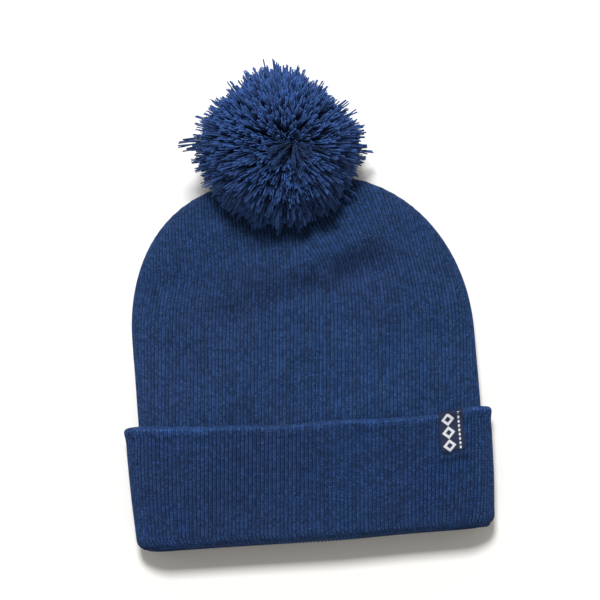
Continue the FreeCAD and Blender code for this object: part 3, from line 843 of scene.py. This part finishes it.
def tieYarns():
    count, many, others = tie["ends"], tie["strays"], tie["scattered"]
    hole = pom["centre"] + partingAxis * tie["root"]
    flat = level(rng.normal(*tie["turn"], count))
    length = rng.uniform(*tie["length"], count)[:, None]
    ends = [hole + upward * rise + flat * length * share for rise, share in tie["curve"]]
    ties = np.stack(ends, axis=1) + rng.normal(scale=0.8, size=(count, 4, 3))
    turn = np.concatenate([rng.normal(math.pi, 0.22, many - others), rng.uniform(-0.3, 3.3, others)])
    aim = unit(np.column_stack([np.cos(turn), np.sin(turn), rng.uniform(-0.35, 0.4, many)]))
    reach = outline(aim) * rng.uniform(*tie["strayReach"], many)
    points = []
    for share in (0.3, 0.6, 0.85, 1.0):
        way = aim + rng.normal(scale=0.03, size=aim.shape)
        points.append(pom["centre"] + way * (reach * share)[:, None] * pom["radius"])
    return np.concatenate([splay(ties, 2, 0.6), np.stack(points, axis=1)])


template = strandTemplate()
pomPieces = []
for number, chosen in enumerate(np.array_split(ballYarns(), 4)):
    radii = pom["filament"] * rng.uniform(0.85, 1.25, len(chosen))
    pomPieces.append(strandMesh(f"pomStrands{number + 1}", template, chosen, radii, number * 4000))
laidYarns = (("pomSkirtStrands", skirtYarns(), 17000), ("pomTieStrands", tieYarns(), 19000))
for name, strands, firstId in laidYarns:
    radii = pom["filament"] * rng.uniform(1.0, 1.35, len(strands))
    pomPieces.append(strandMesh(name, template, strands, radii, firstId))
print("pom", [len(piece.data.polygons) for piece in pomPieces])


class Nodes:
    def __init__(self, name):
        self.material = bpy.data.materials.new(name)
        self.material.use_nodes = True
        self.tree = self.material.node_tree
        self.shader = self.tree.nodes["Principled BSDF"]

    def add(self, kind, inputs=None, **settings):
        node = self.tree.nodes.new("ShaderNode" + kind)
        for key, value in settings.items():
            setattr(node, key, value)
        for key, value in (inputs or {}).items():
            self.feed(node.inputs[key], value)
        return node

    def feed(self, socket, value):
        if isinstance(value, bpy.types.NodeSocket):
            self.tree.links.new(value, socket)
        else:
            socket.default_value = value

    def math(self, operation, a, b=0.0, c=0.0):
        return self.add("Math", {0: a, 1: b, 2: c}, operation=operation).outputs[0]

    def times(self, first, *others):
        for other in others:
            first = self.math("MULTIPLY", first, other)
        return first

    def minus(self, a, b):
        return self.math("SUBTRACT", a, b)

    def apart(self, a, b):
        return self.math("ABSOLUTE", self.minus(a, b))

    def line(self, value, slope, start):
        return self.math("MULTIPLY_ADD", value, slope, start)

    def wave(self, value, rate):
        # ridges of equal height
        return self.math("ABSOLUTE", self.math("SINE", self.math("MULTIPLY", value, rate)))

    def parts(self, vector):
        return self.add("SeparateXYZ", {0: vector}).outputs

    def rowRandom(self, value):
        # one random number for each whole step of a value
        node = self.add("TexWhiteNoise", {"W": self.math("FLOOR", value)}, noise_dimensions="1D")
        return node.outputs["Value"]

    def finish(self, color, shade, height, strength, depth):
        # shaded colour, and relief of a depth in millimetres
        self.feed(self.shader.inputs["Base Color"], self.tone(color, shade))
        bump = self.add("Bump", {"Height": height, "Strength": strength, "Distance": depth * mm})
        self.feed(self.shader.inputs["Normal"], bump.outputs[0])
        return self.material

    def mix(self, share, a, b):
        return self.add("Mix", {0: share, 6: a, 7: b}, data_type="RGBA").outputs[2]

    def tone(self, color, factor):
        grey = self.add("CombineColor", {0: factor, 1: factor, 2: factor}).outputs[0]
        node = self.add("Mix", {0: 1.0, 6: color, 7: grey}, data_type="RGBA", blend_type="MULTIPLY")
        return node.outputs[2]

    def noise(self, vector, scale, detail, contrast=1.0):
        # noise as a factor about one
        fac = self.add("TexNoise", {"Vector": vector, "Scale": scale, "Detail": detail}).outputs["Fac"]
        return self.math("MAXIMUM", self.math("MULTIPLY_ADD", fac, contrast, 1 - contrast / 2), 0.0)

    def cloth(self, roughness, sheen, specular):
        values = {"Roughness": roughness, "Sheen Weight": sheen, "Sheen Roughness": 0.5,
                  "Sheen Tint": (0.25, 0.45, 0.9, 1), "Specular IOR Level": specular}
        for socket, value in values.items():
            self.shader.inputs[socket].default_value = value


knit = {
    "body": (0.0160, 0.0420, 0.1280, 1),
    "cuff": (0.0135, 0.0360, 0.1150, 1),
    "heather": (0.86, 1.01, 1.02, 1),     # cooler patches
    "stitchDepth": 0.5,
    "slant": 0.9,
    "loopPower": 0.6,
    # painted shade in the grooves between the ribs: share of the colour taken off in the middle of a groove
    "grooveShade": 0.60,
    "foldGrooveLighten": 0.35,          # share of the painted groove shade taken off at the cuff's rolled top edge, as part of its painted highlight
    "groovePower": 3.5,
    "foldWidth": 2.8,            # in courses
    # painted highlight along the cuff's rolled top edge: extra gain at the edge, and gain everywhere
    "foldHighlight": (0.75, 1.10),
    "loopShade": (1.0, 0.47),    # painted shade between the loops of the stitches: gain and start, as in the next two
    "stitchShade": (0.6, 0.74),
    "ribShade": (0.14, 0.94),
    "mottle": [(24.0, 3.0, 0.25), (1900.0, 1.0, 4.2), (2600.0, 2.0, 1.0)],   # scale, detail, contrast
}


def knitMaterial(name, color, foldAt=None):
    n = Nodes(name)
    u, v = n.parts(n.add("UVMap").outputs[0])[:2]
    place = n.add("TexCoord").outputs["Object"]
    warp = n.noise(place, 200.0, 2.0, 0.6)
    fromMiddle = n.times(n.apart(n.math("FRACT", u), 0.5), 2.0)
    course = n.math("ADD", n.line(fromMiddle, knit["slant"], v), warp)
    arch = n.math("SINE", n.times(n.math("FRACT", course), math.pi))
    loop = n.math("POWER", arch, knit["loopPower"])
    leg = n.minus(1.0, n.math("POWER", fromMiddle, 3.0))
    parting = n.minus(1.0, n.math("POWER", n.minus(1.0, fromMiddle), 8.0))
    height = n.times(loop, leg, parting)
    cell = n.add("CombineXYZ", {0: n.math("FLOOR", u), 1: n.math("FLOOR", course)}).outputs[0]
    stitch = n.add("TexWhiteNoise", {"Vector": cell}, noise_dimensions="2D").outputs["Value"]
    # painted highlight along the cuff's rolled top edge, where the band's courses start and end
    fold = 0.0
    if foldAt:
        fromFold = n.math("MAXIMUM", n.math("MINIMUM", v, n.minus(foldAt, v)), 0.0)
        past = n.math("SMOOTH_MIN", n.math("DIVIDE", fromFold, knit["foldWidth"]), 1.0, 0.2)
        fold = n.minus(1.0, past)
    depth = n.line(fold, knit["foldGrooveLighten"], -knit["grooveShade"])
    # painted shade in the rib grooves and between the loops, then random tone per stitch and per rib
    shade = n.times(n.line(n.math("POWER", fromMiddle, knit["groovePower"]), depth, 1.0),
                    n.line(height, *knit["loopShade"]), n.line(stitch, *knit["stitchShade"]),
                    n.line(n.rowRandom(u), *knit["ribShade"]))
    shade = n.times(shade, *(n.noise(place, *layer) for layer in knit["mottle"]))
    # painted highlight at the rolled top edge
    shade = n.times(shade, n.line(fold, *knit["foldHighlight"]))
    patch = n.add("TexNoise", {"Vector": place, "Scale": 14.0, "Detail": 1.0}).outputs["Fac"]
    cool = n.math("MINIMUM", n.math("MAXIMUM", n.line(patch, 3.0, -1.0), 0.0), 1.0)
    tinted = n.mix(cool, color, tuple(c * t for c, t in zip(color, knit["heather"])))
    n.cloth(0.92, 0.10, 0.15)
    fluff = n.noise(place, 2400.0, 3.0)
    relief = n.math("ADD", height, n.line(fluff, 0.35, n.times(stitch, 0.4)))
    return n.finish(tinted, shade, relief, 1.0, knit["stitchDepth"])


yarn = {
    "color": (0.0180, 0.0470, 0.1520, 1),
    "seamColor": (0.0120, 0.0290, 0.0850, 1),
    "twists": 6.0,
    "ballPaintedShadeAndLight": (0.28, 2.4),    # painted shade at the root, deep in the ball, and painted light at the cut end
    # the same painted shade and light, for the yarns laid over the crown
    "laidPaintedShadeAndLight": (0.6, 1.7),
    "fibre": (1900.0, 3.0, 0.9),    # scale, detail and contrast
    "fibreRelief": 0.5,
    "relief": (0.9, 0.3),        # strength and depth
}


def plyRelief(n, ply, fibre):
    return n.math("ADD", ply, n.times(fibre, yarn["fibreRelief"]))


def yarnMaterial(name, rootPaintedShade, tipPaintedLight):
    n = Nodes(name)
    u, v = n.parts(n.add("UVMap").outputs[0])[:2]
    place = n.add("TexCoord").outputs["Object"]
    spiral = n.math("ADD", n.times(v, yarn["twists"]), n.times(n.math("FRACT", u), 2.2))
    ply = n.wave(spiral, math.pi)
    fibre = n.noise(place, *yarn["fibre"])
    # random tone per filament, painted shade between the plies, fibre noise, and painted shade towards the
    # root with painted light towards the cut end
    shade = n.times(n.line(n.rowRandom(u), 0.9, 0.6), n.line(ply, 0.4, 0.66), fibre,
                    n.line(n.math("POWER", v, 5.0), tipPaintedLight - rootPaintedShade, rootPaintedShade))
    n.cloth(0.8, 0.12, 0.2)
    return n.finish(yarn["color"], shade, plyRelief(n, ply, fibre), *yarn["relief"])


def threadMaterial(name, color, pitch):
    # for the seams, gathers and ties of the CAD model: a twisted ply on object coordinates
    n = Nodes(name)
    place = n.add("TexCoord").outputs["Object"]
    x, y, z = n.parts(place)
    lay = n.math("ADD", n.math("ADD", x, y), z)
    ply = n.wave(lay, math.pi / (pitch * mm))
    fibre = n.noise(place, *yarn["fibre"])
    # painted shade between the plies, and fibre noise
    shade = n.times(n.line(ply, 0.5, 0.6), fibre)
    n.cloth(0.8, 0.1, 0.2)
    return n.finish(color, shade, plyRelief(n, ply, fibre), *yarn["relief"])


labelLook = {
    "ground": (0.0150, 0.0250, 0.0720, 1),
    "mark": (0.72, 0.75, 0.80, 1),
    "diamonds": 3,
    "pitch": 7.7,
    "firstDiamond": 5.2,         # middle of the lowest one, from the label's foot
    "halfDiagonal": 3.8,
    "hole": 0.46,                # share of a diamond left open
    "markX": -1.9,
    "dashX": 4.3,
    "dashHalfWidth": 0.55,
    "dashesPerMm": 0.4,
    "dashShare": 0.6,
    "warp": 0.42,
    "weft": 0.34,
    "weaveShade": (0.45, 0.68),  # painted shade between the warp and weft threads: gain and start
}


def labelMaterial():
    n = Nodes("labelWeave")
    look = labelLook
    x, y = n.parts(n.add("UVMap").outputs[0])[:2]
    weave = n.times(n.wave(x, math.pi / look["warp"]), n.wave(y, math.pi / look["weft"]))
    # a chain of open diamonds, and one row of small dashes beside it
    run = n.minus(y, look["firstDiamond"] - look["pitch"] / 2)
    step = n.math("FRACT", n.math("DIVIDE", run, look["pitch"]))
    cell = n.times(n.minus(step, 0.5), look["pitch"])
    reach = n.math("ADD", n.apart(x, look["markX"]), n.math("ABSOLUTE", cell))
    ring = n.minus(n.math("LESS_THAN", reach, look["halfDiagonal"]),
                   n.math("LESS_THAN", reach, look["halfDiagonal"] * look["hole"]))
    inRows = n.times(n.math("GREATER_THAN", run, 0.0),
                     n.math("LESS_THAN", run, look["diamonds"] * look["pitch"]))
    row = n.math("LESS_THAN", n.apart(x, look["dashX"]), look["dashHalfWidth"])
    dashStep = n.math("FRACT", n.times(y, look["dashesPerMm"]))
    dashes = n.math("LESS_THAN", dashStep, look["dashShare"])
    mark = n.times(n.math("MAXIMUM", ring, n.times(row, dashes)), inRows)
    color = n.mix(mark, look["ground"], look["mark"])
    n.cloth(0.6, 0.0, 0.2)
    return n.finish(color, n.line(weave, *look["weaveShade"]), weave, 0.6, 0.1)


def give(piece, material):
    piece.data.materials.clear()
    piece.data.materials.append(material)


give(bodyKnit, knitMaterial("bodyKnit", knit["body"]))
bandLength = np.hypot(*np.diff(cuffSteps, axis=0).T).sum()
give(cuffKnit, knitMaterial("cuffKnit", knit["cuff"], bandLength / cuff["coursePitch"]))
give(sideLabel, labelMaterial())
pomMaterial = yarnMaterial("pomYarn", *yarn["ballPaintedShadeAndLight"])
laidMaterial = yarnMaterial("pomLaidYarn", *yarn["laidPaintedShadeAndLight"])
for number, piece in enumerate(pomPieces):
    give(piece, pomMaterial if number < 4 else laidMaterial)
seamThread = threadMaterial("seamThread", yarn["seamColor"], 1.2)
tieYarn = threadMaterial("tieYarn", yarn["color"], 2.2)
labelThread = threadMaterial("labelThread", labelLook["ground"], 0.6)

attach(bodyKnit, "hat")
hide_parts("outer_body_knit", "inner_lining_knit")
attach(cuffKnit, "cuff")
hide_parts("cuff_face_knit", "cuff_backing_knit", "hem_fold_knit")
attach(sideLabel, "cuff")
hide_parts("side_label")
for piece in pomPieces:
    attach(piece, "pom")
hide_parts("pom_yarn")
for node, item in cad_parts.items():
    if item.hide_render:
        continue
    if node.startswith("pom_"):
        give(item, tieYarn)
    else:
        give(item, labelThread if node.startswith("side_label") else seamThread)
    print("kept from the CAD model:", node)

stage = {
    "target": (0.0, 5.5, 12.0),
    "distance": 1000,
    "elevation": 80,
    "roll": 3.9,
    "span": 352,                # width seen at the target, in millimetres
    "key": (-0.07, 0.73, 1.67),
    "keySize": 0.38,
    "keyPower": 31.0,
    "world": 0.41,
    "worldColor": (1.0, 0.95, 0.85, 1),
    "floorSize": 6,             # metres, as are the light's place and size
    "floorColor": (0.93, 0.93, 0.93, 1),
    "sensor": 36,
}


def makeFloor():
    deselectAll()
    bpy.ops.mesh.primitive_plane_add(size=stage["floorSize"], location=(0, 0, 0))
    floor = bpy.context.object
    floor.name = "floor"
    n = Nodes("floorPaper")
    n.shader.inputs["Base Color"].default_value = stage["floorColor"]
    n.shader.inputs["Roughness"].default_value = 0.9
    give(floor, n.material)


def makeLight():
    world = bpy.data.worlds.new("studio")
    bpy.context.scene.world = world
    world.use_nodes = True
    background = world.node_tree.nodes["Background"]
    background.inputs[0].default_value = stage["worldColor"]
    background.inputs[1].default_value = stage["world"]
    data = bpy.data.lights.new("key", "AREA")
    data.size = stage["keySize"]
    data.energy = stage["keyPower"]
    lamp = bpy.data.objects.new("key", data)
    lamp.location = stage["key"]
    lamp.rotation_euler = (-Vector(stage["key"])).to_track_quat("-Z", "Y").to_euler()
    bpy.context.scene.collection.objects.link(lamp)


def makeCamera():
    data = bpy.data.cameras.new("camera")
    camera = bpy.data.objects.new("camera", data)
    bpy.context.scene.collection.objects.link(camera)
    data.sensor_width = stage["sensor"]
    data.lens = stage["sensor"] * stage["distance"] / stage["span"]
    data.clip_start = 0.01
    up = math.radians(stage["elevation"])
    away = Vector((0, -math.cos(up), math.sin(up)))
    camera.location = Vector(stage["target"]) * mm + away * stage["distance"] * mm
    look = (-away).to_track_quat("-Z", "Y")
    camera.rotation_mode = "QUATERNION"
    camera.rotation_quaternion = look @ Quaternion(Vector((0, 0, 1)), math.radians(-stage["roll"]))
    bpy.context.scene.camera = camera
    bpy.context.scene.view_settings.view_transform = "Standard"


makeFloor()
makeLight()
makeCamera()
print("stage")
